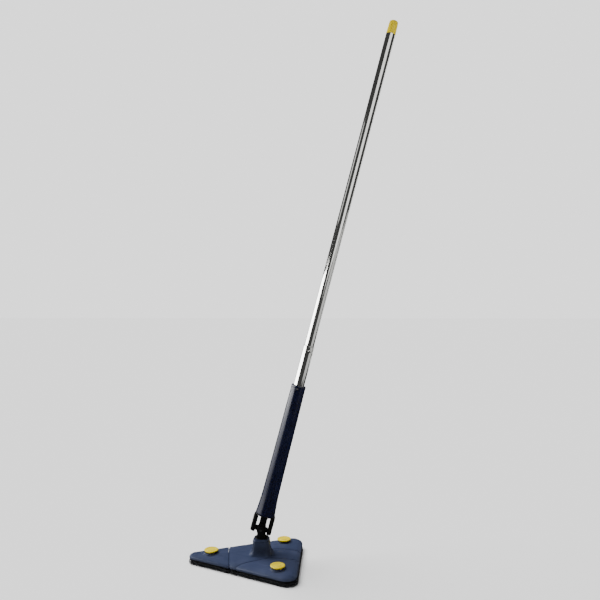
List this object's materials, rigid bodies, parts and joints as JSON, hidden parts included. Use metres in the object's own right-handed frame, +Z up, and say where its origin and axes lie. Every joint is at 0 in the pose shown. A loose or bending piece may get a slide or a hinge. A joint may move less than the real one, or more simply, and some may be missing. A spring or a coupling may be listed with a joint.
{
  "type": "triangular flat mop",
  "caption": "Triangular flat floor mop with folding wings, a universal-joint neck, a sliding squeeze sleeve and a telescopic chrome pole.",
  "frame": {"origin": "on the floor, straight below the crossing of the head joint's two pins", "axes": "+Z up; the head's narrow tip points along -X and its wide edge faces +X; the pole leans towards +X at rest; +Y completes the right-handed frame"},
  "size_m": [0.4901, 0.2264, 1.2703],
  "materials": {
    "navy_plastic": "satin moulded plastic with a fine texture",
    "sleeve_plastic": "glossy deep navy",
    "black_plastic": "satin black",
    "yellow_plastic": "satin yellow",
    "chrome": "polished chrome-plated steel tube",
    "steel": "plain zinc-plated steel",
    "pad_fabric": "dark microfibre pile"
  },
  "bodies": {
    "head": {"hub_base": "black_plastic", "hub_cover": "navy_plastic", "hub_pad": "pad_fabric", "neck_ring": "navy_plastic", "hub_screw_1": "steel", "hub_screw_2": "steel", "hub_screw_3": "steel", "hub_screw_4": "steel", "tip_hinge_pin": "steel", "front_hinge_pin": "steel", "back_hinge_pin": "steel"},
    "tip_wing": {"tip_base": "black_plastic", "tip_cover": "navy_plastic", "tip_pad": "pad_fabric", "tip_screw_1": "steel", "tip_screw_2": "steel", "tip_button_spring": "steel"},
    "tip_button_body": {"tip_button": "yellow_plastic"},
    "front_wing": {"front_base": "black_plastic", "front_cover": "navy_plastic", "front_pad": "pad_fabric", "front_screw_1": "steel", "front_screw_2": "steel", "front_button_spring": "steel"},
    "front_button_body": {"front_button": "yellow_plastic"},
    "back_wing": {"back_base": "black_plastic", "back_cover": "navy_plastic", "back_pad": "pad_fabric", "back_screw_1": "steel", "back_screw_2": "steel", "back_button_spring": "steel"},
    "back_button_body": {"back_button": "yellow_plastic"},
    "swivel": {"swivel_clevis": "black_plastic", "swivel_nut": "steel"},
    "cross": {"cross_block": "black_plastic", "lean_pin": "steel", "tilt_pin_left": "steel", "tilt_pin_right": "steel"},
    "pole": {"pole_yoke": "black_plastic", "yoke_screw": "steel", "lower_tube": "chrome", "tube_mouth_bush": "chrome"},
    "sleeve": {"grip_sleeve": "sleeve_plastic", "sleeve_bush": "black_plastic", "sleeve_screw": "steel", "draw_block": "black_plastic", "draw_pin": "steel"},
    "upper_pole": {"upper_tube": "chrome", "tube_slide_bush": "black_plastic", "end_cap": "yellow_plastic", "snap_spring": "steel"},
    "snap_button_body": {"snap_button": "steel"}
  },
  "joints": [
    {"name": "neck_swivel", "type": "hinge", "parent": "head", "child": "swivel", "pos_m": [0, 0, 0.0835], "axis": [0, 0, 1], "continuous": true},
    {"name": "lean_hinge", "type": "hinge", "parent": "swivel", "child": "cross", "pos_m": [0, 0, 0.0835], "axis": [0, 1, 0], "range_deg": [-36.69, 7.31]},
    {"name": "tilt_hinge", "type": "hinge", "parent": "cross", "child": "pole", "pos_m": [0, 0, 0.0835], "axis": [0.9673, 0, -0.2536], "range_deg": [-75, 75]},
    {"name": "sleeve_slide", "type": "slide", "parent": "pole", "child": "sleeve", "axis": [0.2536, 0, 0.9673], "range_m": [0, 0.045]},
    {"name": "tube_slide", "type": "slide", "parent": "pole", "child": "upper_pole", "axis": [0.2536, 0, 0.9673], "range_m": [-0.2, 0], "deforming": ["snap_button", "snap_spring"]},
    {"name": "snap_button_press", "type": "slide", "parent": "upper_pole", "child": "snap_button_body", "axis": [0.3308, -0.9397, -0.0867], "range_m": [-0.0025, 0], "stiffness_N_per_m": 600, "deforming": ["snap_spring"]},
    {"name": "tip_fold", "type": "hinge", "parent": "head", "child": "tip_wing", "pos_m": [-0.076, 0, 0.0123], "axis": [0.1762, -0.9844, 0], "range_deg": [0, 70], "deforming": ["tip_pad", "hub_pad"]},
    {"name": "front_fold", "type": "hinge", "parent": "head", "child": "front_wing", "pos_m": [0.056, -0.027, 0.0123], "axis": [1, 0, 0], "range_deg": [0, 70], "deforming": ["front_pad", "hub_pad"]},
    {"name": "back_fold", "type": "hinge", "parent": "head", "child": "back_wing", "pos_m": [0.056, 0.027, 0.0123], "axis": [-1, 0, 0], "range_deg": [0, 70], "deforming": ["back_pad", "hub_pad"]},
    {"name": "tip_button_press", "type": "slide", "parent": "tip_wing", "child": "tip_button_body", "axis": [0, 0, 1], "range_m": [-0.0025, 0], "stiffness_N_per_m": 400, "deforming": ["tip_button_spring"]},
    {"name": "front_button_press", "type": "slide", "parent": "front_wing", "child": "front_button_body", "axis": [0, 0, 1], "range_m": [-0.0025, 0], "stiffness_N_per_m": 400, "deforming": ["front_button_spring"]},
    {"name": "back_button_press", "type": "slide", "parent": "back_wing", "child": "back_button_body", "axis": [0, 0, 1], "range_m": [-0.0025, 0], "stiffness_N_per_m": 400, "deforming": ["back_button_spring"]}
  ],
  "couplings": [
    {"joint": "tip_fold", "follows": "sleeve_slide", "rad_per_m": 27},
    {"joint": "front_fold", "follows": "sleeve_slide", "rad_per_m": 27},
    {"joint": "back_fold", "follows": "sleeve_slide", "rad_per_m": 27}
  ]
}
